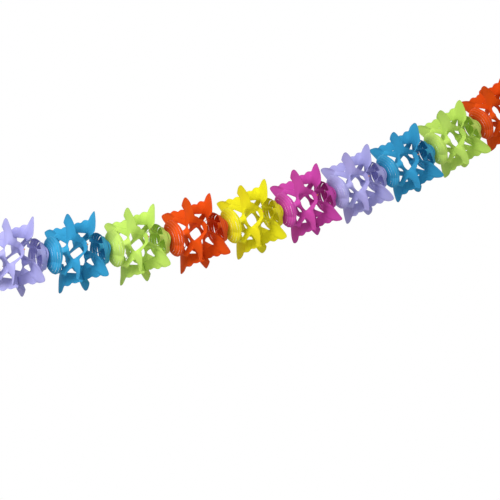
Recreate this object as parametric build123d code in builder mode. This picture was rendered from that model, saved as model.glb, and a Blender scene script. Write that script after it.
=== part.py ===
from build123d import *
import math
import os

# A hanging garland of die-cut paper flowers. Each flower is two equal sheets of one colour, glued
# at four round lobes and drawn apart into a net, and neighbours are glued centre to centre.
# Millimetres. The origin is the glued face of the upper end, +X runs along the span towards it and
# +Z is up. A sheet is drawn with its end disc at z = 0 and its glue lobes at z = half_unit.

# The strand
colours = ("lilac", "blue", "green", "orange", "yellow", "magenta", "lilac", "blue", "green", "orange")
unit_length = 118.0
lower_rise = 2.7
bend = 2.85
ear_turn = 29.0
sectors = 4

# The paper and the end disc
paper = 0.5
disc_radius = 9.5
disc_clearance = 0.05

# The central dome, with eight sides and a bridge to the net at every second one
dome_slope = 0.90
dome_radius = 33.5
bridge_radius = 32.0
bridge_half_width = 4.5
bridge_outer_radius = 40.0
bridge_outer_depth = 29.5

# The roots of the ears, where the net's strips meet
root_inner_radius = 19.6
root_inner_depth = 37.4
root_neck_radius = 30.2
root_neck_half_width = 8.0
root_radius = 33.8
root_depth = 38.8
root_half_width = 8.3

# The ears, each twisted about its ridge by a slope across it, and the scalloped flanks beside them
ear_tip_radius = 80.0
ear_tip_depth = 34.4
ear_twist = 0.20
ear_notch_reach = 51.5
ear_half_width = 19.0
ear_side_steps = 3
scallops = 2
scallop_height = 4.0
scallop_steps = 2

# The glue lobes
lobe_corner_radius = 47.8
lobe_corner_turn = 34.0
lobe_round = 7.0
lobe_steps = 3
lobe_inner_radius = 35.5
lobe_inner_half_width = 6.0

sides = (1, -1)
half_unit = unit_length / 2
half_sector = 180 / sectors
dome_turn = half_sector / 2
lobe_depth = half_unit - paper
disc_corner = disc_radius / math.cos(math.radians(dome_turn))
disc_tilt_rise = disc_corner * math.tan(math.radians(bend / 2))
glue_layer = disc_tilt_rise + disc_clearance


def polar(radius, turn, depth=0.0):
    """A point of the sheet, by its distance from the strand's axis, its turn and its depth."""
    angle = math.radians(turn)
    return Vector(radius * math.cos(angle), radius * math.sin(angle), depth)


def beside(point, side, twist=0.0):
    """A point on one side of the ear's ridge, raised by the twist of the paper there."""
    return Vector(point.X, side * point.Y, point.Z + side * twist * point.Y)


def face_plane(first, second, third):
    """The plane of a facet through three of its corners."""
    return Plane(origin=first, x_dir=second - first, z_dir=(second - first).cross(third - first))


def lifted(plane, point):
    """The point of a facet's plane that lies straight over a point of the plan."""
    normal = plane.z_dir
    run = normal.X * (point.X - plane.origin.X) + normal.Y * (point.Y - plane.origin.Y)
    return Vector(point.X, point.Y, plane.origin.Z - run / normal.Z)


def rounded(start, end, centre, height, steps):
    """The corners of a round scallop from start to end, bulging away from centre."""
    along = (end - start).normalized()
    outward = (start + end) / 2 - centre
    outward = (outward - along * outward.dot(along)).normalized()
    corners = []
    for step in range(1, steps):
        share = step / steps
        corners.append(start + (end - start) * share + outward * height * math.sin(math.pi * share))
    return corners


def facet(plane, corners):
    """A flat facet of paper, as thick along the strand as the paper."""
    with BuildPart() as leaf:
        with BuildSketch(plane):
            with BuildLine():
                Polyline(*(plane.to_local_coords(corner) for corner in corners), close=True)
            make_face()
        extrude(amount=paper, dir=(0, 0, 1))
    return leaf.part


def triangle(*corners):
    """A facet of three corners, for paper that twists."""
    return facet(face_plane(*corners), corners)


def dome_plane(turn):
    """The plane of the dome's side that faces the given turn."""
    angle = math.radians(turn)
    return Plane(
        origin=polar(disc_radius, turn, glue_layer),
        x_dir=(-math.sin(angle), math.cos(angle), 0),
        z_dir=(-dome_slope * math.cos(angle), -dome_slope * math.sin(angle), 1),
    )


def dome_side(turn):
    """The four corners that every side of the dome has: two on the disc and two on the rim."""
    plane = dome_plane(turn)
    disc_corners = [lifted(plane, polar(disc_corner, turn + side * dome_turn)) for side in (-1, 1)]
    rim_corners = [lifted(plane, polar(dome_radius, turn + side * dome_turn)) for side in (1, -1)]
    return plane, disc_corners + rim_corners


# The free side of the dome, on the azimuth of the ear
free_plane, free_corners = dome_side(0)
free_side = facet(free_plane, free_corners)

# The side half way to the next ear, with the bridge in the middle of its rim
bridge_plane, bridge_corners = dome_side(half_sector)
bridge_across = polar(bridge_half_width, half_sector - 90)
bridge_end = polar(bridge_radius, half_sector)
bridge_inner = [lifted(bridge_plane, bridge_end + bridge_across * side) for side in (1, -1)]
bridge_side = facet(bridge_plane, bridge_corners[:3] + bridge_inner[::-1] + bridge_corners[3:])

# The outer edge of the node, where two strips of net join at the bridge
bridge_outer = polar(bridge_outer_radius, half_sector, bridge_outer_depth)
node = triangle(bridge_inner[0], bridge_outer, bridge_inner[1])

# The root of the ear, a flat tab between two windows of the net
root_inner = Vector(root_inner_radius, 0, root_inner_depth)
root_outer = Vector(root_radius, root_half_width, root_depth)
root_outers = {side: beside(root_outer, side, ear_twist) for side in sides}
root_plane = face_plane(root_outers[1], root_inner, root_outers[-1])
root_neck = Vector(root_neck_radius, root_neck_half_width, 0)
root_necks = {side: lifted(root_plane, beside(root_neck, side)) for side in sides}
root = facet(root_plane, [root_inner, root_necks[1], root_outers[1], root_outers[-1], root_necks[-1]])

# The ear, a leaf that leans back towards the sheet's own end
ear_tip = Vector(ear_tip_radius, 0, ear_tip_depth)
ear_plane = face_plane(root_outers[1], ear_tip, root_outers[-1])
ear_edges = {side: [] for side in sides}
for side in sides:
    for step in range(1, ear_side_steps + 1):
        share = step / ear_side_steps
        reach = ear_tip_radius + (ear_notch_reach - ear_tip_radius) * share
        width = ear_half_width * math.sin(math.radians(90 * share))
        ear_edges[side].append(lifted(ear_plane, Vector(reach, side * width, 0)))
ear_notches = {side: ear_edges[side][-1] for side in sides}
ear = facet(ear_plane, [ear_tip] + ear_edges[1] + list(root_outers.values()) + ear_edges[-1][::-1])

# The glue lobe, flat in the middle of the flower, shared by the flanks of two ears
across = polar(1, half_sector - 90)
lobe_corner = polar(lobe_corner_radius, lobe_corner_turn, lobe_depth)
lobe_inner = polar(lobe_inner_radius, half_sector, lobe_depth) + across * lobe_inner_half_width
lobe_far_corner = lobe_corner - across * 2 * lobe_corner.dot(across)
lobe_far_inner = lobe_inner - across * 2 * lobe_inner_half_width
axis_point = Vector(0, 0, lobe_depth)
lobe_edge = rounded(lobe_corner, lobe_far_corner, axis_point, lobe_round, lobe_steps)
lobe_corners = [lobe_inner, lobe_corner] + lobe_edge + [lobe_far_corner, lobe_far_inner]
lobe = facet(Plane.XY.offset(lobe_depth), lobe_corners)


def net_side(side):
    """The strip of net from the root down to the bridge, on one side of the ear."""
    bridge_corner = beside(bridge_inner[0], side)
    strip_inner = triangle(root_necks[side], root_inner, bridge_corner)
    strip_outer = triangle(root_necks[side], bridge_corner, beside(bridge_outer, side))
    return [strip_inner, strip_outer]


def flank_side(side):
    """The scalloped flank, folded down from the ear to the glue lobe, and the gusset at its window."""
    lobe_neck = beside(lobe_corner, side)
    reach = (lobe_neck - ear_notches[side]) / scallops
    flank_edge = [ear_notches[side]]
    for count in range(1, scallops + 1):
        cusp = ear_notches[side] + reach * count
        flank_edge += rounded(cusp - reach, cusp, root_outers[side], scallop_height, scallop_steps)
        flank_edge.append(cusp)
    flank_plane = face_plane(root_outers[side], ear_notches[side], lobe_neck)
    flank = facet(flank_plane, flank_edge + [root_outers[side]])
    gusset = triangle(root_outers[side], lobe_neck, beside(lobe_inner, side))
    return [flank, gusset]


# Two neighbouring ears, both twisted towards the lobe between them, with their sides
with BuildPart() as ear_pair:
    for paper_part in (free_side, root, ear):
        add(paper_part)
    for side in sides:
        for paper_part in net_side(side) + flank_side(side):
            add(paper_part)
    mirror(about=Plane(origin=(0, 0, 0), z_dir=polar(1, half_sector + 90)))

# What lies half way between two ears
with BuildPart() as between:
    for paper_part in (bridge_side, node, lobe):
        add(paper_part)

# The left sheet of a flower, with its end disc cut to the plane that it shares with its neighbour
joint_tilt = math.radians(bend / 2)
joint_plane = Plane(origin=(0, 0, 0), z_dir=(-math.sin(joint_tilt), 0, math.cos(joint_tilt)))
with BuildPart() as left_sheet:
    with PolarLocations(0, sectors // 2, start_angle=ear_turn):
        add(ear_pair.part)
    with PolarLocations(0, sectors, start_angle=ear_turn):
        add(between.part)
    with BuildSketch(Plane.XY.offset(-disc_tilt_rise)):
        RegularPolygon(disc_corner, 2 * sectors, rotation=ear_turn + dome_turn)
    extrude(amount=disc_tilt_rise + glue_layer + paper)
    split(bisect_by=joint_plane, keep=Keep.TOP)

with BuildPart() as right_sheet:
    mirror(left_sheet.part, about=Plane.XY.offset(half_unit))

# The strand, from the lower end up to the origin
rises = [math.radians(lower_rise + bend * count) for count in range(len(colours))]
steps_along = [Vector(math.cos(rise), 0, math.sin(rise)) * unit_length for rise in rises]
start = Vector(0, 0, 0)
for step_along in steps_along:
    start = start - step_along

os.makedirs("parts", exist_ok=True)
for number, (colour, rise, step_along) in enumerate(zip(colours, rises, steps_along), 1):
    unit = Plane(origin=start, x_dir=(-math.sin(rise), 0, math.cos(rise)), z_dir=step_along)
    for side, sheet in (("left", left_sheet), ("right", right_sheet)):
        with BuildPart() as piece:
            add(sheet.part.moved(unit.location))
        piece.part.label = f"flower_{number:02d}_{colour}_{side}"
        export_step(piece.part, f"parts/{piece.part.label}.step")
    start = start + step_along
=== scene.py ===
import math

import bmesh
import bpy
from mathutils import Matrix, Vector, noise


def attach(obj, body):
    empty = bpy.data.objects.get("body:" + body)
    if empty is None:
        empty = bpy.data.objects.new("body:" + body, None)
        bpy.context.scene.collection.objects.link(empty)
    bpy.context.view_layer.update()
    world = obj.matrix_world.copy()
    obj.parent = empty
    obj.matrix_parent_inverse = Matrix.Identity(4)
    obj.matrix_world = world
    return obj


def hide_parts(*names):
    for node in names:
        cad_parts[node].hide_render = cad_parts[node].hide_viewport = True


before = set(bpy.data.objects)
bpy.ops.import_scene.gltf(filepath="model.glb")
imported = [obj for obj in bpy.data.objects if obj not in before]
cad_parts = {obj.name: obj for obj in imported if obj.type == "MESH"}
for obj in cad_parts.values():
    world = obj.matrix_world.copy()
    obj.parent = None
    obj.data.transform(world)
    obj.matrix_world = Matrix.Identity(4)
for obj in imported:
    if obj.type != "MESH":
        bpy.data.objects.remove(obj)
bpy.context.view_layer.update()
bpy.ops.object.select_all(action="DESELECT")

# The die-cut sheet. Every flower is two of these, cut from thin craft paper: a disc, rings parted by
# slits, and an outline of four pointed ears, scallops and four round glue lobes. It starts as a flat
# rosette of rings with its slits cut, in metres, with an ear on +X.
sectors, quarter, lobe_turn = 4, 90, 45
root_turn, notch_turn, neck_turn, bridge_turn = 7.5, 19.3, 37.4, 41.2
ear_turns = [0, 3.5, root_turn, 11.5, 15.5, notch_turn]
scallop_turns = [21.5, 24, 26.5, 28.4, 30.3, 32.8, 35.3]
turns = ear_turns + scallop_turns + [neck_turn, bridge_turn]
quarter_turns = turns + [lobe_turn] + [quarter - turn for turn in turns[:0:-1]]
stations = [turn + quarter * count for count in range(sectors) for turn in quarter_turns]
disc_radius, ring_step = 0.0095, 0.0034

# Its rings, counted from the disc: two slits in the dome with finer ones beside them, the slit that
# frees the dome's rim, the slit that frees the net, and the cut outline
inner_slit, outer_slit, dome_rim, net_rim, outline_row = 2, 4, 7, 10, 16
fine_slits = (3, 5, 6)

bpy.ops.mesh.primitive_circle_add(vertices=len(stations), radius=disc_radius, fill_type="NOTHING")
rosette = bpy.context.object
rosette.name = "rosette"
bpy.ops.object.mode_set(mode="EDIT")
bpy.ops.mesh.select_mode(type="EDGE")
bpy.ops.mesh.select_all(action="SELECT")
radius = disc_radius
for row in range(outline_row):
    bpy.ops.mesh.extrude_edges_move()
    grown = (radius + ring_step) / radius
    bpy.ops.transform.resize(value=(grown, grown, 1), center_override=(0, 0, 0))
    radius += ring_step


def row_of(point):
    """The ring of the flat rosette that a point is on, 0 at the disc's edge."""
    return round((point.xy.length - disc_radius) / ring_step)


def station_of(point):
    """The station of the flat rosette that a point is on, counted from the first ear."""
    share = math.degrees(math.atan2(point.y, point.x)) / 360
    return round(share * len(stations)) % len(stations)


# The slits, each a ring and its first and last station, from one tie that is left uncut to the next.
# They are centred on the ears and on the lobes by turns, and are cut in every quarter of the sheet.
lobe_station = len(turns)
next_ear = 2 * lobe_station
tie, rim_tie, fine_tie = 2, 1, 3
slits = [
    (inner_slit, tie - lobe_station, lobe_station - tie),
    (outer_slit, tie, next_ear - tie),
    (dome_rim, rim_tie - lobe_station, lobe_station - rim_tie),
    (net_rim, tie, next_ear - tie),
]
slits += [(row, fine_tie, next_ear - fine_tie) for row in fine_slits]
cut_stations = {
    row: {(station + next_ear * count) % len(stations)
          for count in range(sectors) for station in range(first, last + 1)}
    for row, first, last in slits
}
mesh = bmesh.from_edit_mesh(rosette.data)
bpy.ops.mesh.select_all(action="DESELECT")
for edge in mesh.edges:
    row, other_row = (row_of(vert.co) for vert in edge.verts)
    on_slit = row == other_row and row in cut_stations
    if on_slit and all(station_of(vert.co) in cut_stations[row] for vert in edge.verts):
        edge.select = True
bmesh.update_edit_mesh(rosette.data)
bpy.ops.mesh.edge_split(type="EDGE")
bpy.ops.object.mode_set(mode="OBJECT")

# The sheet drawn open. The disc and the lobes are pulled 59 mm apart, the rings between the slits
# swing out into a net, and the ears fold back. Each point of the flat rosette goes to its place in the
# drawn sheet, in millimetres, with the disc at the bottom and an ear on +X.
sheet_depth = 58.7
disc_depth = 0.45


def around(reach, turn, depth, aside=0.0):
    """A point by its distance from the axis, its turn from the ear, its depth and a step aside."""
    angle = math.radians(turn)
    out = Vector((math.cos(angle), math.sin(angle), 0))
    return out * reach + Vector((-out.y, out.x, 0)) * aside + Vector((0, 0, depth))


def bowed(start, control, end, share):
    """A point on the soft curve of a paper edge from start to end."""
    return start * (1 - share) ** 2 + control * 2 * share * (1 - share) + end * share ** 2


def share_of(value, first, last):
    """How far a value has come on its way from first to last, from 0 to 1."""
    return min(1, max(0, (value - first) / (last - first)))


# The dome's rings, each by its reach and depth on the ear's azimuth and on the lobe's, and the bridge
# that ties its rim to the net under each lobe
dome_at_ear = (
    (9.5, 0), (13.6, 0.9), (17.4, 2.4), (20.6, 5.4),
    (23.6, 8.8), (26.9, 11.8), (30, 14.6), (32.4, 17.2),
)
dome_at_lobe = (
    (9.5, 0), (14.2, 0.4), (19, 1.3), (24.2, 2.9),
    (28.9, 5.2), (32.4, 8.8), (34.2, 13.6), (32, 19.8),
)
swing_sharpness = 1.1
bridge_reach, bridge_depth, bridge_half_width = 32.0, 20.3, 4.4
bridge_corner = around(bridge_reach, lobe_turn, bridge_depth, -bridge_half_width)
bridge_middle = around(bridge_reach, lobe_turn, bridge_depth)
bridge_corner_turn = math.degrees(math.atan2(bridge_corner.y, bridge_corner.x))

# Where a slit gapes, its outer lip lies deeper, and at the outer slit further out too. On a sheet that
# gapes the fine slits are narrower, and the dome's outer rings are pulled in and deeper.
inner_gape, outer_gape_reach, outer_gape_depth = 1.4, 0.8, 2.4
fine_gape, fine_gape_loss = 0.45, 0.4
gape_pull, gape_sink = 6.5, 2.0


def dome_point(row, turn, outside, gape):
    """A point of the dome, whose rings bulge between their ties and part where the slits gape."""
    if row == dome_rim and turn > bridge_turn:
        return bridge_middle.copy()
    swing = abs(math.sin(math.radians(2 * turn))) ** swing_sharpness
    parted = gape * outside
    ear_reach, ear_sink = dome_at_ear[row]
    lobe_reach, lobe_sink = dome_at_lobe[row]
    if row == inner_slit:
        ear_sink += inner_gape * parted * (1 - swing) ** 2
    if row == outer_slit:
        lobe_reach += outer_gape_reach * parted * swing ** 2
        lobe_sink += outer_gape_depth * parted * swing ** 2
    if row in fine_slits:
        lobe_sink += (fine_gape - fine_gape_loss * gape) * outside
    if outer_slit <= row < dome_rim:
        lobe_reach -= gape_pull * gape
        lobe_sink += gape_sink * gape
    reach = ear_reach + (lobe_reach - ear_reach) * swing
    depth = ear_sink + (lobe_sink - ear_sink) * swing
    if row == dome_rim:
        return around(reach, turn * bridge_corner_turn / bridge_turn, depth)
    return around(reach, turn, disc_depth + depth)


# The net: on each side of an ear a strip that bows from the ear's root down to a bridge
root_inner = Vector((20.5, 0, 37.2))
root_middle = Vector((31.6, 0, 38.3))
root_corner = Vector((32.4, 8.2, 38.6))
net_outer = around(39.0, lobe_turn, 30.0)
inner_strip_bow = Vector((21.5, 9.5, 33.0))
outer_strip_bow = Vector((30.5, 18.5, 29.0))


def net_edge(turn, outside):
    """A point on the inner or outer edge of the net strip, from the ear's root to the bridge."""
    if outside and turn <= root_turn:
        return root_middle.lerp(root_corner, turn / root_turn)
    if outside:
        return bowed(root_corner, outer_strip_bow, net_outer, share_of(turn, root_turn, lobe_turn))
    if turn > bridge_turn:
        return bridge_middle.copy()
    return bowed(root_inner, inner_strip_bow, bridge_corner, share_of(turn, 0, bridge_turn))


# The outermost ring: from the ear's root to the glue lobe on its inner edge, and ear, two scallops and
# the round end of the lobe on the cut outline
lobe_inner_reach, lobe_inner_half_width = 35.5, 6.0
lobe_inner_corner = around(lobe_inner_reach, lobe_turn, sheet_depth, -lobe_inner_half_width)
lobe_inner_middle = around(lobe_inner_reach, lobe_turn, sheet_depth)
window_bow = Vector((31.8, 14.0, 50.0))
lobe_neck = around(47.8, 34, sheet_depth)
lobe_end = around(54.0, lobe_turn, sheet_depth)
lobe_end_corner = around(51.6, lobe_turn, sheet_depth, -5.6)
ear_corners = ((80.3, 0), (77, 5.4), (71.5, 10.4), (64.5, 14.8), (57.5, 18), (51.3, 19))
ear_outline = dict(zip(ear_turns, ear_corners))
ear_fall = 0.095
scallops, scallop_height, scallop_fullness = 2, 4.2, 0.8


def leaf_inner(turn):
    """A point on the inner edge of the outermost ring, from the ear's root to the glue lobe."""
    if turn <= root_turn:
        return root_middle.lerp(root_corner, turn / root_turn)
    if turn > bridge_turn:
        return lobe_inner_middle.copy()
    return bowed(root_corner, window_bow, lobe_inner_corner, share_of(turn, root_turn, bridge_turn))


def ear_depth(x, y, twist):
    """The depth of the ear, a leaf that leans back and is twisted about its ridge."""
    return root_corner.z - ear_fall * (x - root_corner.x) + twist * y


def outward_from_root(start, end):
    """The direction square to the line from start to end that points away from the ear's root."""
    along = (end - start).normalized()
    outward = (start + end) / 2 - root_corner
    return (outward - along * outward.dot(along)).normalized()


def leaf_outline(turn, twist):
    """A point on the cut outline: ear, two scallops and the round end of the glue lobe."""
    if turn in ear_outline:
        x, y = ear_outline[turn]
        return Vector((x, y, ear_depth(x, y, twist)))
    if turn > neck_turn:
        return (lobe_end if turn == lobe_turn else lobe_end_corner).copy()
    notch = leaf_outline(notch_turn, twist)
    share = (turn - notch_turn) / (neck_turn - notch_turn)
    bulge = scallop_height * abs(math.sin(scallops * math.pi * share)) ** scallop_fullness
    return notch.lerp(lobe_neck, share) + outward_from_root(notch, lobe_neck) * bulge


ring_shares = (0, 0.12, 0.3, 0.5, 0.7, 0.87, 1)
ear_ridge, flank_valley = 1.2, 1.1


def leaf_point(row, turn, twist):
    """A point of the outermost ring, with the ear's ridge and the soft folds of its flank."""
    spread = ring_shares[row - net_rim]
    fold = leaf_inner(turn).lerp(leaf_outline(turn, twist), spread)
    if turn <= notch_turn:
        ridge = ear_ridge * spread * (1 - share_of(turn, 0, notch_turn)) ** 2
        return fold - Vector((0, 0, ridge))
    notch = leaf_outline(notch_turn, twist)
    flank_normal = (notch - root_corner).cross(lobe_neck - root_corner).normalized()
    valley = (1 - math.cos(2 * math.pi * scallops * share_of(turn, notch_turn, neck_turn))) / 2
    return fold - flank_normal * flank_valley * valley * spread


def in_ring(row, outside, rim):
    """Whether a point is within a ring's outer slit, or on the inner lip of that slit."""
    return row < rim or (row == rim and not outside)


def drawn(row, turn, outside, gape, twist):
    """The place of a point of half a quarter, by its row, its turn and its side of a slit."""
    if in_ring(row, outside, dome_rim):
        return dome_point(row, turn, outside, gape)
    if in_ring(row, outside, net_rim):
        share = (row - dome_rim) / (net_rim - dome_rim)
        return net_edge(turn, False).lerp(net_edge(turn, True), share)
    return leaf_point(row, turn, twist)


# How each ear hangs: its twist, how far it bulges half way and how far its tip leans in and aside.
# The slits of the right-hand sheets gape more.
ear_poses = {
    "left": ((0.16, 2.6, 1.3, 0), (-0.04, 3.2, -3.6, 2.6), (0.20, 0, 1.4, 0), (-0.20, 0, -1.8, 0)),
    "right": ((0.12, -0.6, 1.2, 0), (-0.20, 0, -1.6, 0), (0.20, 3.0, 0, 0), (-0.20, 0, 0, 0)),
}
slit_gapes = {"left": 0.08, "right": 0.6}
sag_start, sag_end, held_depth = 34, 80, 18


def posed(point, lift, tip, aside):
    """A point of the ear's leaf after it has sagged: lifted half way, and its tip moved."""
    share = share_of(point.x, sag_start, sag_end)
    loose = share_of(sheet_depth - point.z, 0, held_depth)
    lifted = lift * math.sin(math.pi * share) + tip * share ** 2
    return point + Vector((0, aside * share ** 2, lifted)) * loose


# One left and one right sheet are drawn open. Each point keeps whether it is on a cut edge outside the
# dome, and which ring of the dome it is on, for the paper's finish and its painted highlight on the
# slits.
off_ring = dome_rim + 0.25
disc_edge = 12
drawn_sheets = {}
for side in ("left", "right"):
    bpy.ops.object.select_all(action="DESELECT")
    rosette.select_set(True)
    bpy.context.view_layer.objects.active = rosette
    bpy.ops.object.duplicate()
    opened = bpy.context.object
    opened.name = f"opened_{side}"
    mesh = bmesh.new()
    mesh.from_mesh(opened.data)
    cut = mesh.verts.layers.float.new("cut")
    ring = mesh.verts.layers.float.new("ring")
    flat = {vert: vert.co.copy() for vert in mesh.verts}
    middles = {face: face.calc_center_median().xy.length for face in mesh.faces}
    for vert, place in flat.items():
        row = row_of(place)
        outside = all(middles[face] > place.xy.length for face in vert.link_faces)
        count, turn = divmod(stations[station_of(place)], quarter)
        mirrored = turn > lobe_turn
        across = 1 if turn < lobe_turn else -1
        nearest_ear = int(count) if turn < lobe_turn else int(count + 1) % sectors
        twist, lift, tip, aside = ear_poses[side][nearest_ear]
        point = drawn(row, min(turn, quarter - turn), outside, slit_gapes[side], across * twist)
        if not in_ring(row, outside, net_rim):
            point = posed(point, lift, tip, across * aside)
        if mirrored:
            point = Vector((point.y, point.x, point.z))
        vert.co = Matrix.Rotation(math.radians(quarter * count), 3, "Z") @ point
        vert[ring] = row if in_ring(row, outside, dome_rim) else off_ring
        vert[cut] = vert.is_boundary and row >= dome_rim
    mesh.to_mesh(opened.data)
    mesh.free()
    opened.modifiers.new("soft", "SUBSURF")
    opened.modifiers["soft"].levels = opened.modifiers["soft"].render_levels = 1
    bpy.ops.object.modifier_apply(modifier="soft")
    bpy.ops.object.mode_set(mode="EDIT")
    bpy.ops.mesh.select_all(action="DESELECT")
    mesh = bmesh.from_edit_mesh(opened.data)
    for edge in mesh.edges:
        edge.select = edge.is_boundary and all(vert.co.xy.length < disc_edge for vert in edge.verts)
    bmesh.update_edit_mesh(opened.data)
    bpy.ops.mesh.edge_face_add()
    bpy.ops.mesh.select_all(action="SELECT")
    bpy.ops.mesh.normals_make_consistent(inside=False)
    bpy.ops.object.mode_set(mode="OBJECT")
    drawn_sheets[side] = opened
bpy.data.objects.remove(rosette)

# The garland's twenty sheets. Two sheets make a flower, its colour from the maker's packet, and the
# flowers are glued disc to disc in a strand that rises towards the upper end. The paper is matte and
# dyed through, and each sheet is bent a little differently, as handled paper is.
colours = ("lilac", "blue", "green", "orange", "yellow", "magenta", "lilac", "blue", "green", "orange")
unit_length, lower_rise, bend, ear_turn = 118.0, 2.7, 2.85, 29.0
paper_thickness = 0.00035
smooth_angle = math.radians(50)

rises = [math.radians(lower_rise + bend * count) for count in range(len(colours))]
steps = [Vector((math.cos(rise), 0, math.sin(rise))) * unit_length for rise in rises]
start = -sum(steps, Vector())
millimetre = 0.001
flower_places = []
for rise, step in zip(rises, steps):
    up = Vector((-math.sin(rise), 0, math.cos(rise)))
    axes = Matrix((up, Vector((0, -1, 0)), step.normalized())).transposed().to_4x4()
    flower_places.append(Matrix.Scale(millimetre, 4) @ Matrix.Translation(start) @ axes)
    start = start + step

# The paper's finish: a faint cloudiness, darker cut edges, a painted highlight along the lips of the
# dome's slits where light would catch them, and short fibres that catch the light. Each colour of
# paper has its own four shades of it, the last a paler one for the painted highlight.
paper_colours = {
    "lilac": (0.415, 0.405, 0.75),
    "blue": (0.036, 0.33, 0.577),
    "green": (0.53, 0.75, 0.135),
    "orange": (0.74, 0.078, 0.003),
    "yellow": (0.79, 0.74, 0.012),
    "magenta": (0.58, 0.066, 0.395),
}
# The painted highlight on the lips of the dome's slits is the paper's colour paled this far towards
# white
cloud_shade, edge_shade, edge_depth, lip_highlight_paling = 0.88, 0.78, 1.1, 0.3

paper_finish_and_highlight = bpy.data.node_groups.new("paper_finish_and_highlight", "ShaderNodeTree")
paper_finish_and_highlight.interface.new_socket("Place", in_out="INPUT", socket_type="NodeSocketVector")
for socket in ("Cut", "Ring"):
    paper_finish_and_highlight.interface.new_socket(socket, in_out="INPUT", socket_type="NodeSocketFloat")
for socket in ("Paper", "Clouded", "Edge", "LipHighlight"):
    paper_finish_and_highlight.interface.new_socket(socket, in_out="INPUT", socket_type="NodeSocketColor")
paper_finish_and_highlight.interface.new_socket("Colour", in_out="OUTPUT", socket_type="NodeSocketColor")
paper_finish_and_highlight.interface.new_socket("Fibre", in_out="OUTPUT", socket_type="NodeSocketFloat")
nodes, links = paper_finish_and_highlight.nodes, paper_finish_and_highlight.links
given = nodes.new("NodeGroupInput")
result = nodes.new("NodeGroupOutput")
cloud = nodes.new("ShaderNodeTexNoise")
cloud.inputs["Scale"].default_value = 55
cloud.inputs["Detail"].default_value = 3
near_cut = nodes.new("ShaderNodeMapRange")
near_cut.inputs["From Min"].default_value = 0.6
from_ring = nodes.new("ShaderNodeMath")
from_ring.operation = "PINGPONG"
from_ring.inputs[1].default_value = 0.5
# The painted highlight: a thin pale line on each lip of the dome's slits, where the ring is nearly
# whole
painted_lip_highlight = nodes.new("ShaderNodeMapRange")
painted_lip_highlight.inputs["From Max"].default_value = 0.16
painted_lip_highlight.inputs["To Min"].default_value = 0.22
painted_lip_highlight.inputs["To Max"].default_value = 0
fibre = nodes.new("ShaderNodeTexNoise")
fibre.inputs["Scale"].default_value = 900
fibre.inputs["Detail"].default_value = 6
links.new(given.outputs["Place"], cloud.inputs["Vector"])
links.new(given.outputs["Place"], fibre.inputs["Vector"])
links.new(given.outputs["Cut"], near_cut.inputs["Value"])
links.new(given.outputs["Ring"], from_ring.inputs[0])
links.new(from_ring.outputs["Value"], painted_lip_highlight.inputs["Value"])
shade = given.outputs["Paper"]
for amount, next_shade in (
    (cloud.outputs["Fac"], "Clouded"),
    (near_cut.outputs["Result"], "Edge"),
    (painted_lip_highlight.outputs["Result"], "LipHighlight"),
):
    mix = nodes.new("ShaderNodeMix")
    mix.data_type = "RGBA"
    links.new(amount, mix.inputs["Factor"])
    links.new(shade, mix.inputs["A"])
    links.new(given.outputs[next_shade], mix.inputs["B"])
    shade = mix.outputs["Result"]
links.new(shade, result.inputs["Colour"])
links.new(fibre.outputs["Fac"], result.inputs["Fibre"])


def paper_material(name, colour):
    """Matte craft paper of one colour, with a painted highlight along the lips of the dome's slits."""
    material = bpy.data.materials.new(name)
    material.use_nodes = True
    nodes, links = material.node_tree.nodes, material.node_tree.links
    shader = nodes["Principled BSDF"]
    shader.inputs["Roughness"].default_value = 0.8
    shader.inputs["Specular IOR Level"].default_value = 0.12
    paper = nodes.new("ShaderNodeGroup")
    paper.node_tree = paper_finish_and_highlight
    paper.inputs["Paper"].default_value = (*colour, 1)
    paper.inputs["Clouded"].default_value = (*(cloud_shade * part for part in colour), 1)
    paper.inputs["Edge"].default_value = (*(edge_shade * part ** edge_depth for part in colour), 1)
    # The paler shade is the painted highlight on the lips of the dome's slits
    paper.inputs["LipHighlight"].default_value = (*(lip_highlight_paling + (1 - lip_highlight_paling) * part for part in colour), 1)
    place = nodes.new("ShaderNodeTexCoord")
    links.new(place.outputs["Object"], paper.inputs["Place"])
    for socket in ("Cut", "Ring"):
        attribute = nodes.new("ShaderNodeAttribute")
        attribute.attribute_name = socket.lower()
        links.new(attribute.outputs["Fac"], paper.inputs[socket])
    bump = nodes.new("ShaderNodeBump")
    bump.inputs["Strength"].default_value = 0.25
    bump.inputs["Distance"].default_value = 0.0002
    links.new(paper.outputs["Colour"], shader.inputs["Base Color"])
    links.new(paper.outputs["Fibre"], bump.inputs["Height"])
    links.new(bump.outputs["Normal"], shader.inputs["Normal"])
    return material


papers = {name: paper_material(f"paper_{name}", colour) for name, colour in paper_colours.items()}

# How paper gives when it is handled: the glued places stay, and the ears give most
handling_seed = 2
noise.seed_set(handling_seed)
handling_scale = 0.035
handling_steps = (7.3, 3.1, 5.7)
ear_give, dome_give, ear_give_power = 2.0, 0.3, 1.2
ear_give_start, ear_give_end, dome_give_end = 34, 74, 30
glued_depth = 1.5


def bent(point, seed):
    """A point of the drawn sheet after handling."""
    if point.z > sheet_depth - glued_depth:
        return point
    reach = point.xy.length
    give = share_of(reach, ear_give_start, ear_give_end) ** ear_give_power * ear_give
    give += share_of(reach, 0, dome_give_end) * dome_give
    spot = point * handling_scale + Vector([seed * step for step in handling_steps])
    return point + noise.noise_vector(spot) * give


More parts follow.
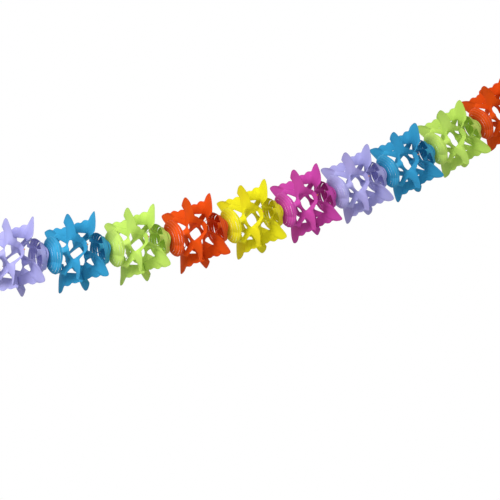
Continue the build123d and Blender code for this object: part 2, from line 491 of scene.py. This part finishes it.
to_lobes = Matrix.Rotation(math.radians(ear_turn), 4, "Z")
facing_back = Matrix.Translation((0, 0, unit_length)) @ Matrix.Scale(-1, 4, (0, 0, 1))
for number, (colour, place) in enumerate(zip(colours, flower_places), 1):
    for count, side in enumerate(("left", "right")):
        bpy.ops.object.select_all(action="DESELECT")
        drawn_sheets[side].select_set(True)
        bpy.context.view_layer.objects.active = drawn_sheets[side]
        bpy.ops.object.duplicate()
        sheet = bpy.context.object
        sheet.name = f"paper_{number:02d}_{colour}_{side}"
        seed = number * 2 + count
        for vert in sheet.data.vertices:
            vert.co = bent(vert.co, seed)
        if side == "left":
            sheet.data.transform(place @ to_lobes)
        else:
            sheet.data.transform(place @ facing_back @ to_lobes)
            sheet.data.flip_normals()
        sheet.modifiers.new("paper", "SOLIDIFY")
        sheet.modifiers["paper"].thickness = paper_thickness
        sheet.modifiers["paper"].offset = 0
        bpy.ops.object.modifier_apply(modifier="paper")
        bpy.ops.object.shade_smooth_by_angle(angle=smooth_angle)
        sheet.data.materials.append(papers[colour])
        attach(sheet, "root")
        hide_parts(f"flower_{number:02d}_{colour}_{side}")
for opened in drawn_sheets.values():
    bpy.data.objects.remove(opened)

# Glue. A small brown drop shows at the rim of two of the four pairs of lobes in each flower, where it
# was pressed out between the two sheets before it dried.
drop_radius, drop_reach = 0.0013, 53.8
drop_sides, drop_rings = 12, 8
drops = []
for place in flower_places:
    for turn in (ear_turn + lobe_turn, ear_turn + lobe_turn + 2 * quarter):
        spot = place @ around(drop_reach, turn, unit_length / 2)
        bpy.ops.mesh.primitive_uv_sphere_add(
            segments=drop_sides, ring_count=drop_rings, radius=drop_radius, location=spot
        )
        drops.append(bpy.context.object)
bpy.ops.object.select_all(action="DESELECT")
for drop in drops:
    drop.select_set(True)
bpy.context.view_layer.objects.active = drops[0]
bpy.ops.object.join()
glue = bpy.context.object
glue.name = "glue_drops"
bpy.ops.object.transform_apply(location=True, rotation=True, scale=True)
bpy.ops.object.shade_smooth()
glue_material = bpy.data.materials.new("dried_glue")
glue_material.use_nodes = True
glue_shader = glue_material.node_tree.nodes["Principled BSDF"]
glue_shader.inputs["Base Color"].default_value = (0.55, 0.17, 0.03, 1)
glue_shader.inputs["Roughness"].default_value = 0.35
glue.data.materials.append(glue_material)
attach(glue, "root")

# The floor and the backdrop: a plain pale floor well below the garland, and a white room. The camera
# and the gloss see both as plain white, and they light the paper more softly than that.
floor_size, floor_height, floor_grey, room_light = 30, -1.6, 0.6, 0.72


def white_where_seen(tree, lit, white, surface):
    """Gives the camera and the gloss a white shader, and every other ray the lit one."""
    nodes, links = tree.nodes, tree.links
    path = nodes.new("ShaderNodeLightPath")
    seen = nodes.new("ShaderNodeMath")
    seen.operation = "MAXIMUM"
    mix = nodes.new("ShaderNodeMixShader")
    links.new(path.outputs["Is Camera Ray"], seen.inputs[0])
    links.new(path.outputs["Is Glossy Ray"], seen.inputs[1])
    links.new(seen.outputs["Value"], mix.inputs["Fac"])
    links.new(lit, mix.inputs[1])
    links.new(white, mix.inputs[2])
    links.new(mix.outputs["Shader"], surface)


bpy.ops.mesh.primitive_plane_add(size=floor_size, location=(0, 0, floor_height))
floor = bpy.context.object
floor.name = "floor"
floor_material = bpy.data.materials.new("floor_white")
floor_material.use_nodes = True
nodes = floor_material.node_tree.nodes
matte = nodes["Principled BSDF"]
matte.inputs["Base Color"].default_value = (floor_grey, floor_grey, floor_grey, 1)
glow = nodes.new("ShaderNodeEmission")
surface = nodes["Material Output"].inputs["Surface"]
white_where_seen(floor_material.node_tree, matte.outputs["BSDF"], glow.outputs["Emission"], surface)
floor.data.materials.append(floor_material)

room = bpy.data.worlds.new("studio")
bpy.context.scene.world = room
room.use_nodes = True
nodes = room.node_tree.nodes
dim = nodes["Background"]
dim.inputs["Color"].default_value = (1, 1, 1, 1)
dim.inputs["Strength"].default_value = room_light
white = nodes.new("ShaderNodeBackground")
white.inputs["Color"].default_value = (1, 1, 1, 1)
surface = nodes["World Output"].inputs["Surface"]
white_where_seen(room.node_tree, dim.outputs["Background"], white.outputs["Background"], surface)

# The studio lamps: a soft key lamp beyond the lower end, low and to the camera's side, and a wide weak
# one near the camera. Both are aimed at the middle of the garland.
garland_middle = Vector((-0.6, 0, -0.16))
for name, place, size, power in (
    ("key", (-2.65, -1.15, 0.7), 1.0, 47),
    ("fill", (-1.9, -2.4, 0.9), 2.0, 6),
):
    bpy.ops.object.light_add(type="AREA", location=place)
    lamp = bpy.context.object
    lamp.name = name
    lamp.data.size = size
    lamp.data.energy = power
    lamp.rotation_euler = (garland_middle - lamp.location).to_track_quat("-Z", "Y").to_euler()

# The camera, level and a little towards the lower end, with the long lens that the photograph's small
# change of size along the garland asks for.
camera_place, camera_aim = (-2.3416, -3.2285, -0.2962), (0.4740, 0.8805, 0)
sensor_width, focal_length = 36, 144
bpy.ops.object.camera_add(location=camera_place)
camera = bpy.context.object
camera.rotation_euler = Vector(camera_aim).to_track_quat("-Z", "Y").to_euler()
camera.data.sensor_width = sensor_width
camera.data.lens = focal_length
bpy.context.scene.camera = camera
bpy.context.scene.view_settings.view_transform = "Standard"
